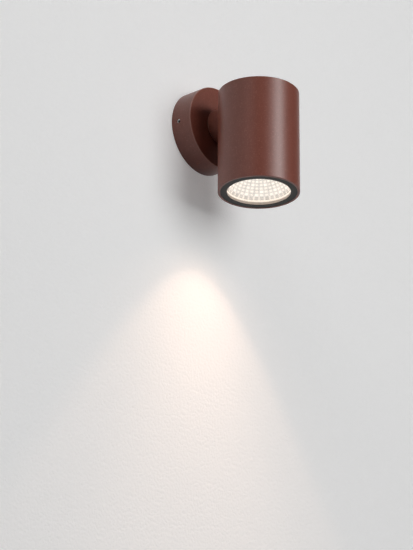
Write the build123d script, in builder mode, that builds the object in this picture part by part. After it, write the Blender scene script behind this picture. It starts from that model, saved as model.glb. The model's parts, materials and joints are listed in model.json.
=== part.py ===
from build123d import *
import os
from math import cos, radians, sin, sqrt

# Outdoor wall light: a cylindrical downlight head that swivels on a round wall base.
# Frame: the wall is the plane Y = 0 and the room is on its -Y side, +Z is up.
# The origin is the middle of the wall base, and the swivel axis is the Y axis.
# All sizes are in millimetres. "Out" means a distance from the wall, towards the room.

# Head
HEAD_DIAMETER = 80.0
HEAD_HEIGHT = 106.0
HEAD_WALL = 2.4
HEAD_TOP_THICKNESS = 4.0
HEAD_TOP_ABOVE_NECK = 3.0
HEAD_TOP_EDGE = 0.7
HEAD_RIM_CHAMFER = 0.3

# Wall base
BASE_DIAMETER = 85.0
BASE_DEPTH = 24.0
BASE_WALL = 2.75
BASE_FRONT_THICKNESS = 3.0
BASE_EDGE = 0.6
WALL_GASKET_WIDTH = 1.3
WALL_GASKET_THICKNESS = 2.0

# Wall bracket
BRACKET_RIM_GAP = 2.75  # bracket's edge to the base's inside
BRACKET_THICKNESS = 2.0
BRACKET_EAR_DEPTH = 15.0
BRACKET_EAR_WIDTH = 14.0
BRACKET_EAR_CLEARANCE = 0.3
WALL_SLOT_INSET = 7.0  # slot's middle to the bracket's edge
WALL_SLOT_WIDTH = 4.5
WALL_SLOT_LENGTH = 9.0
CABLE_ENTRY_OFFSET = 17.0
CABLE_ENTRY_BORE = 8.0
GROMMET_BODY_DIAMETER = 13.0
GROMMET_FLANGE_DIAMETER = 17.0
GROMMET_FLANGE_THICKNESS = 2.0
EARTH_SCREW_ACROSS = -18.0
EARTH_SCREW_UP = 20.0

# Grub screws that lock the base to the bracket
GRUB_DIAMETER = 4.0
GRUB_LENGTH = 8.0
GRUB_FROM_WALL = 9.0
GRUB_TILT = 3.4  # degrees below the horizontal at the left screw
GRUB_RECESS = 0.35
GRUB_SOCKET = 2.0  # across flats
GRUB_SOCKET_DEPTH = 2.2
GRUB_POINT = 0.8
GRUB_BOSS_DIAMETER = 9.0
GRUB_BOSS_HEIGHT = 3.2

# Terminal block
TERMINAL_EAR_GAP = 4.25  # block to the bracket's ear
TERMINAL_WIDTH = 13.0
TERMINAL_LENGTH = 27.0
TERMINAL_HEIGHT = 13.0
TERMINAL_PITCH = 8.0
TERMINAL_WIRE_HOLE = 2.6
TERMINAL_SCREW_DIAMETER = 3.4
TERMINAL_SCREW_DEPTH = 4.0
TERMINAL_SCREW_RECESS = 0.8
TERMINAL_FIXING_DIAMETER = 2.2

# Swivel
SPINDLE_DIAMETER = 10.0
SPINDLE_BORE = 7.0
SPINDLE_PROUD = 0.6
NECK_DIAMETER = 36.0
NECK_LENGTH = 11.5  # at its middle, from the shadow gap to the head
NECK_GAP = 1.0
NECK_REAR_CHAMFER = 0.7
BUSH_SLEEVE_DIAMETER = 14.0
BUSH_SEAL_GAP = 1.15  # bush flange to the seal's groove
SEAL_INSET = 2.7  # neck's side to the middle of the rubber section
SEAL_SECTION = 2.0
SEAL_GROOVE_WIDTH = 2.3
SEAL_PROUD = 0.75
FRICTION_WASHER_DIAMETER = 21.0
FRICTION_WASHER_THICKNESS = 1.0
STOP_WASHER_DIAMETER = 19.0
STOP_WASHER_THICKNESS = 1.5
STOP_LUG_OVERLAP = 2.0  # lug's end past the stop pin's middle
STOP_LUG_WIDTH = 3.0
STOP_PIN_DIAMETER = 3.0
STOP_PIN_GAP = 1.0  # stop pin to the friction washer
STOP_PIN_SEAT = 1.8
SPRING_WASHER_DIAMETER = 18.0
SPRING_WASHER_THICKNESS = 0.7
SPRING_WASHER_RISE = 0.5
NUT_ACROSS_FLATS = 14.0
SWIVEL_NUT_THICKNESS = 4.0
HEAD_NUT_THICKNESS = 5.0
SADDLE_WASHER_THICKNESS = 4.5  # at its middle
NECK_SCREW_INSET = 5.0  # screw's middle to the neck's side
NECK_SCREW_LENGTH = 10.0
NECK_SCREW_END_GAP = 0.5

# Light source and heat path
SINK_PLATE = 8.0
SINK_TOP_DROP = 38.0  # swivel axis to the sink's top face
SINK_CLEARANCE = 0.3
SINK_LUG_DIAMETER = 10.0
SINK_LUG_HEIGHT = 14.0
SINK_SCREW_INSET = 5.6  # screw's middle to the can's inside
SINK_SCREW_LENGTH = 16.0
FIN_COUNT = 7
FIN_PITCH = 5.0
FIN_THICKNESS = 1.8
FIN_HEIGHT = 11.0
FIN_LENGTH = 17.0
FIN_OFFSET = 16.0  # head axis to the middle of the fins, towards the wall
BOARD_SIDE = 19.0
BOARD_THICKNESS = 1.0
EMITTER_DIAMETER = 14.0
EMITTER_THICKNESS = 0.6
HOLDER_RIM = 4.5  # screw's middle to the holder's side
HOLDER_THICKNESS = 4.0
HOLDER_POCKET_CLEARANCE = 0.2
HOLDER_OPENING = 17.0
HOLDER_SCREW_GAP = 4.425  # screw head to the reflector's throat
HOLDER_SCREW_LENGTH = 8.0

# Reflector, glass and bezel
BEZEL_WIDTH = 6.5  # the dark ring, seen from below
BEZEL_RECESS = 0.3
BEZEL_EDGE = 0.25  # height of the bezel's inner edge
BEZEL_FACE = 1.5
BEZEL_WALL = 1.1
BEZEL_HEIGHT = 7.0
BEZEL_BEVEL = 1.3
GASKET_LIP_HEIGHT = 2.8  # bezel face to the glass
GASKET_WALL = 1.3
GASKET_STEP = 0.2  # lip set back from the bezel's inner edge
GLASS_THICKNESS = 3.5
REFLECTOR_THROAT = 18.0
REFLECTOR_MARGIN = 0.5  # mouth wider than the bezel's opening, on radius
REFLECTOR_WALL = 1.3
REFLECTOR_LIP = 1.2
REFLECTOR_FLANGE_WIDTH = 3.0
REFLECTOR_FLANGE_THICKNESS = 1.5
FACET_COLUMNS = 36
FACET_ROWS = 11
FACET_GROWTH = 1.2  # rows grow towards the mouth by this power

# Driver
DRIVER_SIDE_GAP = 8.1  # driver's ear to the can's inside, straight across
DRIVER_DEPTH = 24.0
DRIVER_HEIGHT = 34.0
DRIVER_LUG_GAP = 3.0  # driver's front to the can's front lug
DRIVER_EDGE = 1.5
DRIVER_EAR_LENGTH = 7.5
DRIVER_EAR_DEPTH = 10.0
DRIVER_EAR_THICKNESS = 3.0
DRIVER_SCREW_LENGTH = 8.0

# Leads
LEAD_DIAMETER = 5.0
LEAD_JOINT_INSET = 1.0  # where the two leads meet in the spindle, from the base's front wall
LEAD_BRACKET_GAP = 1.7
LEAD_SHEATH_RUN = 1.5  # straight run of the sheath after its bend
LEAD_FREE_END = 1.0  # straight run out of the spindle before the bend
HEAD_LEAD_ENTRY = 5.0  # below the driver's top
HEAD_LEAD_BEND = 8.0
CORE_DIAMETER = 1.4
CORE_SPACING = 1.5
CORE_BEND_SHARE = 0.2  # of the cores' run
LED_WIRE_DIAMETER = 1.6
LED_WIRE_SPACING = 2.2
LED_WIRE_STANDOFF = 5.0  # from the driver's and the holder's sides
LED_WIRE_DROP = 18.0
LED_WIRE_BEND = 2.5
LED_WIRE_HOLE = 6.0
LED_WIRE_SETBACK = 3.5  # wires in front of the driver's rear face

# Small screws and fits
M3 = 3.0
M4 = 4.0
HEAD_RATIO = 1.85  # pan head diameter over thread diameter
HEAD_HEIGHT_RATIO = 0.62
DRIVE_RATIO = 0.5
RUNNING_CLEARANCE = 0.05  # on radius
THREAD_CLEARANCE = 0.05  # on radius
SEAT_CLEARANCE = 0.1  # on radius
HOLE_CLEARANCE = 0.2  # on radius

# Levels and radii that follow from the sizes above
neck_radius = NECK_DIAMETER / 2
head_top = neck_radius + HEAD_TOP_ABOVE_NECK
head_bottom = head_top - HEAD_HEIGHT
head_radius = HEAD_DIAMETER / 2
head_bore_radius = head_radius - HEAD_WALL
base_radius = BASE_DIAMETER / 2
base_inner_radius = base_radius - BASE_WALL
base_inner_out = BASE_DEPTH - BASE_FRONT_THICKNESS
neck_rear_out = BASE_DEPTH + NECK_GAP
head_reach = neck_rear_out + NECK_LENGTH + head_radius  # wall to the head's own axis
head_axis = Axis((0, -head_reach, 0), (0, 0, 1))
grub_boss_inner = base_inner_radius - GRUB_BOSS_HEIGHT
bracket_ear_outer = grub_boss_inner - BRACKET_EAR_CLEARANCE
bracket_radius = base_inner_radius - BRACKET_RIM_GAP
wall_slot_offset = bracket_radius - WALL_SLOT_INSET
terminal_near = bracket_ear_outer - BRACKET_THICKNESS - TERMINAL_EAR_GAP - TERMINAL_WIDTH

stop_washer_out = base_inner_out - FRICTION_WASHER_THICKNESS - STOP_WASHER_THICKNESS
spring_washer_out = stop_washer_out - SPRING_WASHER_THICKNESS - SPRING_WASHER_RISE
swivel_nut_out = spring_washer_out - SWIVEL_NUT_THICKNESS
spindle_rear_out = swivel_nut_out - SPINDLE_PROUD
head_inner_wall_out = head_reach - head_bore_radius
neck_screw_end_out = head_inner_wall_out - NECK_SCREW_LENGTH
head_nut_out = head_inner_wall_out + SADDLE_WASHER_THICKNESS
spindle_front_out = head_nut_out + HEAD_NUT_THICKNESS + SPINDLE_PROUD
spindle_hole_radius = SPINDLE_DIAMETER / 2 + RUNNING_CLEARANCE
saddle_washer_radius = neck_radius / 2
neck_screw_offset = neck_radius - NECK_SCREW_INSET
seal_radius = neck_radius - SEAL_INSET
bush_flange_radius = seal_radius - SEAL_GROOVE_WIDTH / 2 - BUSH_SEAL_GAP
stop_pin_radius = FRICTION_WASHER_DIAMETER / 2 + STOP_PIN_GAP + STOP_PIN_DIAMETER / 2

bezel_face_level = head_bottom + BEZEL_RECESS
bezel_outer_radius = head_bore_radius - SEAT_CLEARANCE
bezel_inner_radius = bezel_outer_radius - BEZEL_WIDTH
gasket_outer_radius = bezel_outer_radius - BEZEL_WALL
gasket_inner_radius = bezel_inner_radius + GASKET_STEP
glass_radius = gasket_outer_radius - GASKET_WALL - SEAT_CLEARANCE
throat_radius = REFLECTOR_THROAT / 2
mouth_radius = bezel_inner_radius + REFLECTOR_MARGIN
glass_bottom = bezel_face_level + GASKET_LIP_HEIGHT
glass_top = glass_bottom + GLASS_THICKNESS
sink_top = -SINK_TOP_DROP
sink_bottom = sink_top - SINK_PLATE
holder_bottom = sink_bottom - HOLDER_THICKNESS
reflector_top = holder_bottom
reflector_bottom = glass_top
facet_bottom = reflector_bottom + REFLECTOR_LIP
small_head_radius = M3 * HEAD_RATIO / 2
sink_screw_radius = head_bore_radius - SINK_SCREW_INSET
holder_screw_radius = throat_radius + REFLECTOR_WALL + HOLDER_SCREW_GAP + small_head_radius
holder_radius = holder_screw_radius + HOLDER_RIM
driver_half_width = head_bore_radius - DRIVER_SIDE_GAP - DRIVER_EAR_LENGTH
driver_front = sink_screw_radius - SINK_LUG_DIAMETER / 2 - DRIVER_LUG_GAP
driver_offset = driver_front - DRIVER_DEPTH / 2
driver_rear_out = head_reach + driver_offset - DRIVER_DEPTH / 2
lead_out = BRACKET_THICKNESS + LEAD_BRACKET_GAP + LEAD_DIAMETER / 2
lead_bend = spindle_rear_out - LEAD_FREE_END - lead_out
lead_joint_out = base_inner_out - LEAD_JOINT_INSET
lead_sheath_end = lead_bend + LEAD_SHEATH_RUN
head_lead_drop = SINK_TOP_DROP - DRIVER_HEIGHT + HEAD_LEAD_ENTRY
led_wire_across = max(driver_half_width, holder_radius) + LED_WIRE_STANDOFF
led_wire_forward = driver_front - DRIVER_DEPTH + LED_WIRE_SETBACK

os.makedirs("parts", exist_ok=True)


def out_from_wall(distance):
    """Plane that far out from the wall, facing the room: its x is X and its y is Z."""
    return Plane.XZ.offset(distance)


def head_level(height):
    """Level plane centred on the head's axis."""
    return Plane(origin=(0, -head_reach, height))


def head_level_down(height):
    """The same plane facing down, for what is driven in from below."""
    return Plane(origin=(0, -head_reach, height), x_dir=(1, 0, 0), z_dir=(0, 0, -1))


def grub_plane(side):
    """Plane through a grub screw's axis origin, facing out to the left (-1) or the right (+1)."""
    tilt = radians(GRUB_TILT)
    outward = (side * cos(tilt), 0, side * sin(tilt))
    return Plane(origin=(0, -GRUB_FROM_WALL, 0), x_dir=(0, 1, 0), z_dir=outward)


def keep(piece, name):
    """Label a finished piece and write its file."""
    piece.part.label = name
    export_step(piece.part, f"parts/{name}.step")


def pan_screws(plane, places, diameter, length):
    """Pan-head screws whose heads seat on the plane, with shanks that run into it."""
    head_radius_of_screw = diameter * HEAD_RATIO / 2
    head_height = diameter * HEAD_HEIGHT_RATIO
    with BuildPart() as screws:
        with BuildSketch(plane):
            with Locations(*places):
                Circle(head_radius_of_screw)
        extrude(amount=head_height)
        outward = Axis(plane.origin, plane.z_dir)
        fillet(screws.faces().group_by(outward)[-1].edges(), head_height * 0.45)
        with BuildSketch(plane):
            with Locations(*places):
                Circle(diameter / 2)
        extrude(amount=-length)
        with BuildSketch(plane.offset(head_height)):
            with Locations(*places):
                RegularPolygon(diameter * DRIVE_RATIO / 2, 6, major_radius=False)
        extrude(amount=-head_height * 0.7, mode=Mode.SUBTRACT)
    return screws


def washer(out, diameter, thickness, bore_radius):
    """Flat ring on the swivel axis."""
    with BuildPart() as ring:
        with BuildSketch(out_from_wall(out)):
            Circle(diameter / 2)
            Circle(bore_radius, mode=Mode.SUBTRACT)
        extrude(amount=thickness)
    return ring


def hex_nut(out, thickness):
    """Thin hexagon nut on the spindle."""
    with BuildPart() as nut:
        with BuildSketch(out_from_wall(out)):
            RegularPolygon(NUT_ACROSS_FLATS / 2, 6, major_radius=False)
            Circle(SPINDLE_DIAMETER / 2 + THREAD_CLEARANCE, mode=Mode.SUBTRACT)
        extrude(amount=thickness)
    return nut


def round_lead(points, bends, diameter):
    """Round cable along straight runs joined by tangent arcs."""
    with BuildPart() as lead:
        with BuildLine() as route:
            FilletPolyline(*points, radius=bends)
        start = Plane(origin=route.line @ 0, z_dir=route.line % 0)
        with BuildSketch(start):
            Circle(diameter / 2)
        sweep(path=route.line)
    return lead


# Wall base shell: a cup that is open to the wall
with BuildPart() as base_shell:
    with BuildSketch(Plane.XZ):
        Circle(base_radius)
    extrude(amount=BASE_DEPTH)
    fillet(base_shell.faces().sort_by(Axis.Y)[0].edges(), BASE_EDGE)
    with BuildSketch(Plane.XZ):
        Circle(base_inner_radius)
    extrude(amount=base_inner_out, mode=Mode.SUBTRACT)
    with BuildSketch(Plane.XZ):
        Circle(base_inner_radius + WALL_GASKET_WIDTH)
    extrude(amount=WALL_GASKET_THICKNESS, mode=Mode.SUBTRACT)
    for side in (-1, 1):
        with BuildSketch(grub_plane(side).offset(grub_boss_inner)):
            Circle(GRUB_BOSS_DIAMETER / 2)
        extrude(amount=GRUB_BOSS_HEIGHT + BASE_WALL / 2)
        with BuildSketch(grub_plane(side)):
            Circle(GRUB_DIAMETER / 2 + THREAD_CLEARANCE)
        extrude(amount=BASE_DIAMETER, mode=Mode.SUBTRACT)
    with BuildSketch(out_from_wall(base_inner_out)):
        Circle(BUSH_SLEEVE_DIAMETER / 2 + SEAT_CLEARANCE)
    extrude(amount=BASE_FRONT_THICKNESS, mode=Mode.SUBTRACT)
    with BuildSketch(out_from_wall(base_inner_out)):
        with Locations((0, -stop_pin_radius)):
            Circle(STOP_PIN_DIAMETER / 2)
    extrude(amount=STOP_PIN_SEAT, mode=Mode.SUBTRACT)
keep(base_shell, "base_shell")

# Foam ring in the base's rear rim, against the wall
with BuildPart() as wall_gasket:
    with BuildSketch(Plane.XZ):
        Circle(base_inner_radius + WALL_GASKET_WIDTH - SEAT_CLEARANCE)
        Circle(base_inner_radius, mode=Mode.SUBTRACT)
    extrude(amount=WALL_GASKET_THICKNESS)
keep(wall_gasket, "wall_gasket")

# Bracket that is screwed to the wall first, with two ears for the grub screws
with BuildPart() as wall_bracket:
    with BuildSketch(Plane.XZ):
        Circle(bracket_radius)
        Rectangle(2 * bracket_ear_outer, 2 * bracket_radius, rotation=GRUB_TILT, mode=Mode.INTERSECT)
        with Locations((0, wall_slot_offset), (0, -wall_slot_offset)):
            SlotOverall(WALL_SLOT_LENGTH, WALL_SLOT_WIDTH, rotation=90, mode=Mode.SUBTRACT)
        with Locations((-CABLE_ENTRY_OFFSET, 0)):
            Circle(GROMMET_BODY_DIAMETER / 2, mode=Mode.SUBTRACT)
        with Locations((EARTH_SCREW_ACROSS, EARTH_SCREW_UP)):
            Circle(M4 / 2 + THREAD_CLEARANCE, mode=Mode.SUBTRACT)
        with Locations((terminal_near + TERMINAL_WIDTH / 2, TERMINAL_PITCH / 2)):
            Circle(TERMINAL_FIXING_DIAMETER / 2 + THREAD_CLEARANCE, mode=Mode.SUBTRACT)
    extrude(amount=BRACKET_THICKNESS)
    for side in (-1, 1):
        with BuildSketch(grub_plane(side).offset(bracket_ear_outer)):
            with Locations((GRUB_FROM_WALL - BRACKET_EAR_DEPTH / 2, 0)):
                Rectangle(BRACKET_EAR_DEPTH, BRACKET_EAR_WIDTH)
        extrude(amount=-BRACKET_THICKNESS)
        with BuildSketch(grub_plane(side).offset(bracket_ear_outer)):
            Circle(GRUB_DIAMETER / 2 + HOLE_CLEARANCE)
        extrude(amount=-BRACKET_THICKNESS, mode=Mode.SUBTRACT)
keep(wall_bracket, "wall_bracket")

# Grub screws: hexagon socket outside, tapered point in the bracket's ear
with BuildPart() as grub_screws:
    for side in (-1, 1):
        with BuildSketch(grub_plane(side).offset(base_radius - GRUB_RECESS)):
            Circle(GRUB_DIAMETER / 2)
            RegularPolygon(GRUB_SOCKET / 2, 6, major_radius=False, mode=Mode.SUBTRACT)
        extrude(amount=-GRUB_SOCKET_DEPTH)
        with BuildSketch(grub_plane(side).offset(base_radius - GRUB_RECESS - GRUB_SOCKET_DEPTH)):
            Circle(GRUB_DIAMETER / 2)
        extrude(amount=-(GRUB_LENGTH - GRUB_SOCKET_DEPTH))
    ends = grub_screws.faces().filter_by(GeomType.PLANE).sort_by(Axis.X)
    inner_ends = [face for face in ends if abs(face.center().X) < base_radius - GRUB_LENGTH]
    chamfer([edge for face in inner_ends for edge in face.edges()], GRUB_POINT)
keep(grub_screws, "grub_screws")

# Rubber grommet for the supply cable
with BuildPart() as cable_grommet:
    with BuildSketch(Plane.XZ):
        with Locations((-CABLE_ENTRY_OFFSET, 0)):
            Circle(GROMMET_BODY_DIAMETER / 2 - RUNNING_CLEARANCE)
    extrude(amount=BRACKET_THICKNESS)
    with BuildSketch(out_from_wall(BRACKET_THICKNESS)):
        with Locations((-CABLE_ENTRY_OFFSET, 0)):
            Circle(GROMMET_FLANGE_DIAMETER / 2)
    extrude(amount=GROMMET_FLANGE_THICKNESS)
    fillet(cable_grommet.faces().sort_by(Axis.Y)[0].edges(), GROMMET_FLANGE_THICKNESS / 3)
    with BuildSketch(Plane.XZ):
        with Locations((-CABLE_ENTRY_OFFSET, 0)):
            Circle(CABLE_ENTRY_BORE / 2)
    extrude(amount=BRACKET_THICKNESS + GROMMET_FLANGE_THICKNESS, mode=Mode.SUBTRACT)
keep(cable_grommet, "cable_grommet")

# Terminal block on the bracket, with a wire hole through each pole
terminal_middle = terminal_near + TERMINAL_WIDTH / 2
terminal_front_out = BRACKET_THICKNESS + TERMINAL_HEIGHT
pole_heights = [TERMINAL_PITCH * step for step in (-1, 0, 1)]
with BuildPart() as terminal_block:
    with BuildSketch(out_from_wall(BRACKET_THICKNESS)):
        with Locations((terminal_middle, 0)):
            Rectangle(TERMINAL_WIDTH, TERMINAL_LENGTH)
    extrude(amount=TERMINAL_HEIGHT)
    chamfer(terminal_block.edges().filter_by(Axis.Z), TERMINAL_WIDTH / 8)
    for height in pole_heights:
        with BuildSketch(Plane.YZ.offset(terminal_near)):
            with Locations((-lead_out, height)):
                Circle(TERMINAL_WIRE_HOLE / 2)
        extrude(amount=TERMINAL_WIDTH, mode=Mode.SUBTRACT)
        with BuildSketch(out_from_wall(terminal_front_out)):
            with Locations((terminal_middle, height)):
                Circle(TERMINAL_SCREW_DIAMETER / 2 + THREAD_CLEARANCE)
        extrude(amount=-TERMINAL_SCREW_RECESS - TERMINAL_SCREW_DEPTH, mode=Mode.SUBTRACT)
    with BuildSketch(out_from_wall(BRACKET_THICKNESS)):
        with Locations((terminal_middle, TERMINAL_PITCH / 2)):
            Circle(TERMINAL_FIXING_DIAMETER / 2 + THREAD_CLEARANCE)
    extrude(amount=TERMINAL_HEIGHT, mode=Mode.SUBTRACT)
keep(terminal_block, "terminal_block")

# Clamp screws of the three poles
with BuildPart() as terminal_screws:
    with BuildSketch(out_from_wall(terminal_front_out - TERMINAL_SCREW_RECESS)):
        with Locations(*[(terminal_middle, height) for height in pole_heights]):
            Circle(TERMINAL_SCREW_DIAMETER / 2)
            Rectangle(TERMINAL_SCREW_DIAMETER * 2, TERMINAL_SCREW_DIAMETER / 5, mode=Mode.SUBTRACT)
    extrude(amount=-TERMINAL_SCREW_DEPTH / 4)
    with BuildSketch(out_from_wall(terminal_front_out - TERMINAL_SCREW_RECESS - TERMINAL_SCREW_DEPTH / 4)):
        with Locations(*[(terminal_middle, height) for height in pole_heights]):
            Circle(TERMINAL_SCREW_DIAMETER / 2)
    extrude(amount=-TERMINAL_SCREW_DEPTH * 3 / 4)
keep(terminal_screws, "terminal_screws")

# Screw that holds the terminal block, between two poles
terminal_fixing_screw = pan_screws(
    out_from_wall(terminal_front_out),
    [(terminal_middle, TERMINAL_PITCH / 2)],
    TERMINAL_FIXING_DIAMETER,
    TERMINAL_HEIGHT + BRACKET_THICKNESS,
)
keep(terminal_fixing_screw, "terminal_fixing_screw")

# Earthing screw on the bracket
earth_screw = pan_screws(
    out_from_wall(BRACKET_THICKNESS), [(EARTH_SCREW_ACROSS, EARTH_SCREW_UP)], M4, BRACKET_THICKNESS
)
keep(earth_screw, "earth_screw")

# Flanged bush in the base's front wall, which the neck turns on
with BuildPart() as swivel_bush:
    with BuildSketch(out_from_wall(BASE_DEPTH)):
        Circle(bush_flange_radius)
    extrude(amount=NECK_GAP)
    with BuildSketch(out_from_wall(base_inner_out)):
        Circle(BUSH_SLEEVE_DIAMETER / 2)
    extrude(amount=BASE_FRONT_THICKNESS)
    with BuildSketch(out_from_wall(base_inner_out)):
        Circle(spindle_hole_radius)
    extrude(amount=BASE_FRONT_THICKNESS + NECK_GAP, mode=Mode.SUBTRACT)
keep(swivel_bush, "swivel_bush")

friction_washer = washer(
    base_inner_out - FRICTION_WASHER_THICKNESS,
    FRICTION_WASHER_DIAMETER,
    FRICTION_WASHER_THICKNESS,
    spindle_hole_radius,
)
keep(friction_washer, "friction_washer")

# Pin that the stop washer's lug meets at each end of the swivel
with BuildPart() as stop_pin:
    with BuildSketch(out_from_wall(stop_washer_out)):
        with Locations((0, -stop_pin_radius)):
            Circle(STOP_PIN_DIAMETER / 2)
    extrude(amount=base_inner_out + STOP_PIN_SEAT - stop_washer_out)
keep(stop_pin, "stop_pin")

# Washer that turns with the spindle, with its lug opposite the stop pin
lug_reach = stop_pin_radius + STOP_LUG_OVERLAP
with BuildPart() as stop_washer:
    with BuildSketch(out_from_wall(stop_washer_out)):
        Circle(STOP_WASHER_DIAMETER / 2)
        with Locations((0, lug_reach / 2)):
            Rectangle(STOP_LUG_WIDTH, lug_reach)
        Circle(spindle_hole_radius, mode=Mode.SUBTRACT)
    extrude(amount=STOP_WASHER_THICKNESS)
keep(stop_washer, "stop_washer")

# Dished spring washer that keeps the friction on the swivel
with BuildPart() as spring_washer:
    with BuildSketch(Plane.XY):
        with BuildLine():
            inner = spindle_hole_radius
            outer = SPRING_WASHER_DIAMETER / 2
            Polyline(
                (inner, -spring_washer_out),
                (outer, -spring_washer_out - SPRING_WASHER_RISE),
                (outer, -spring_washer_out - SPRING_WASHER_RISE - SPRING_WASHER_THICKNESS),
                (inner, -spring_washer_out - SPRING_WASHER_THICKNESS),
                close=True,
            )
        make_face()
    revolve(axis=Axis.Y)
keep(spring_washer, "spring_washer")

swivel_nut = hex_nut(swivel_nut_out, SWIVEL_NUT_THICKNESS)
keep(swivel_nut, "swivel_nut")

# Hollow spindle: the swivel's axle and the way through for the leads
with BuildPart() as spindle:
    with BuildSketch(out_from_wall(spindle_rear_out)):
        Circle(SPINDLE_DIAMETER / 2)
        Circle(SPINDLE_BORE / 2, mode=Mode.SUBTRACT)
    extrude(amount=spindle_front_out - spindle_rear_out)
    chamfer(spindle.faces().filter_by(Axis.Y).edges(), SPINDLE_DIAMETER / 30)
keep(spindle, "spindle")

# Neck between the base and the head, saddled to the head's round wall
neck_screw_places = [(0, neck_screw_offset), (0, -neck_screw_offset)]
seal_groove_depth = SEAL_SECTION - SEAL_PROUD
with BuildPart() as neck:
    with BuildSketch(out_from_wall(neck_rear_out)):
        Circle(NECK_DIAMETER / 2)
    extrude(amount=head_reach - neck_rear_out)
    chamfer(neck.faces().sort_by(Axis.Y)[-1].edges(), NECK_REAR_CHAMFER)
    with BuildSketch(head_level(-NECK_DIAMETER)):
        Circle(head_radius)
    extrude(amount=2 * NECK_DIAMETER, mode=Mode.SUBTRACT)
    with BuildSketch(out_from_wall(neck_rear_out)):
        Circle(SPINDLE_DIAMETER / 2 + THREAD_CLEARANCE)
    extrude(amount=head_reach - neck_rear_out, mode=Mode.SUBTRACT)
    with BuildSketch(out_from_wall(neck_screw_end_out - NECK_SCREW_END_GAP)):
        with Locations(*neck_screw_places):
            Circle(M3 / 2 + THREAD_CLEARANCE)
    extrude(amount=NECK_LENGTH, mode=Mode.SUBTRACT)
    with BuildSketch(out_from_wall(neck_rear_out)):
        Circle(seal_radius + SEAL_GROOVE_WIDTH / 2)
        Circle(seal_radius - SEAL_GROOVE_WIDTH / 2, mode=Mode.SUBTRACT)
    extrude(amount=seal_groove_depth, mode=Mode.SUBTRACT)
keep(neck, "neck")

# Rubber ring in the neck's rear face, which keeps rain out of the swivel
with BuildPart() as neck_seal:
    with BuildSketch(Plane.XY):
        with Locations((seal_radius, -(neck_rear_out + seal_groove_depth - SEAL_SECTION / 2))):
            Circle(SEAL_SECTION / 2)
    revolve(axis=Axis.Y)
keep(neck_seal, "neck_seal")

# Head housing: a round can that is closed at the top and open below
with BuildPart() as head_housing:
    with BuildSketch(head_level(head_bottom)):
        Circle(head_radius)
    extrude(amount=HEAD_HEIGHT)
    fillet(head_housing.faces().sort_by(Axis.Z)[-1].edges(), HEAD_TOP_EDGE)
    chamfer(head_housing.faces().sort_by(Axis.Z)[0].edges(), HEAD_RIM_CHAMFER)
    with BuildSketch(head_level(head_bottom)):
        Circle(head_bore_radius)
    extrude(amount=HEAD_HEIGHT - HEAD_TOP_THICKNESS, mode=Mode.SUBTRACT)
    with BuildSketch(head_level(sink_top)):
        with PolarLocations(sink_screw_radius, 3, start_angle=30):
            with Locations((SINK_LUG_DIAMETER / 2, 0)):
                SlotCenterToCenter(SINK_LUG_DIAMETER, SINK_LUG_DIAMETER)
        Circle(head_bore_radius + HEAD_WALL / 2, mode=Mode.INTERSECT)
    extrude(amount=SINK_LUG_HEIGHT)
    with BuildSketch(head_level(sink_top)):
        with PolarLocations(sink_screw_radius, 3, start_angle=30):
            Circle(M3 / 2 + THREAD_CLEARANCE)
    extrude(amount=SINK_SCREW_LENGTH - SINK_PLATE + THREAD_CLEARANCE, mode=Mode.SUBTRACT)
    with BuildSketch(out_from_wall(neck_rear_out)):
        Circle(SPINDLE_DIAMETER / 2 + THREAD_CLEARANCE)
        with Locations(*neck_screw_places):
            Circle(M3 / 2 + HOLE_CLEARANCE)
    extrude(amount=head_reach - neck_rear_out, mode=Mode.SUBTRACT)
    # Flat seats for the heads of the neck screws
    with BuildSketch(out_from_wall(head_inner_wall_out)):
        with Locations(*neck_screw_places):
            Circle(small_head_radius + HOLE_CLEARANCE)
    extrude(amount=head_bore_radius, mode=Mode.SUBTRACT)
keep(head_housing, "head_housing")

# Washer with a round back, so that the head nut bears flat inside the can
with BuildPart() as saddle_washer:
    with BuildSketch(out_from_wall(neck_rear_out)):
        Circle(saddle_washer_radius)
        Circle(SPINDLE_DIAMETER / 2 + THREAD_CLEARANCE, mode=Mode.SUBTRACT)
    extrude(amount=head_nut_out - neck_rear_out)
    with BuildSketch(head_level(-neck_radius)):
        Circle(head_bore_radius)
    extrude(amount=2 * neck_radius, mode=Mode.INTERSECT)
keep(saddle_washer, "saddle_washer")

head_nut = hex_nut(head_nut_out, HEAD_NUT_THICKNESS)
keep(head_nut, "head_nut")

# Two screws from inside the can that lock the neck to it
neck_screws = pan_screws(
    out_from_wall(head_inner_wall_out), neck_screw_places, M3, NECK_SCREW_LENGTH
)
keep(neck_screws, "neck_screws")

# Heat sink: a thick plate under the can's lugs, with fins behind the driver
led_wire_places = [
    (led_wire_across, -led_wire_forward + LED_WIRE_SPACING * step) for step in (-0.5, 0.5)
]
driver_screw_across = driver_half_width + DRIVER_EAR_LENGTH / 2
driver_screw_places = [(driver_screw_across, -driver_offset), (-driver_screw_across, -driver_offset)]
holder_screw_places = [(holder_screw_radius, 0), (-holder_screw_radius, 0)]
with BuildPart() as heat_sink:
    with BuildSketch(head_level(sink_bottom)):
        Circle(head_bore_radius - SINK_CLEARANCE)
        with PolarLocations(sink_screw_radius, 3, start_angle=30):
            Circle(M3 / 2 + HOLE_CLEARANCE, mode=Mode.SUBTRACT)
        with Locations((led_wire_across, -led_wire_forward)):
            Circle(LED_WIRE_HOLE / 2, mode=Mode.SUBTRACT)
        with Locations(*driver_screw_places, *holder_screw_places):
            Circle(M3 / 2 + THREAD_CLEARANCE, mode=Mode.SUBTRACT)
    extrude(amount=SINK_PLATE)
    with BuildSketch(head_level(sink_top)):
        with Locations((0, FIN_OFFSET)):
            with GridLocations(FIN_PITCH, FIN_LENGTH, FIN_COUNT, 1):
                Rectangle(FIN_THICKNESS, FIN_LENGTH)
    extrude(amount=FIN_HEIGHT)
keep(heat_sink, "heat_sink")

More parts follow.
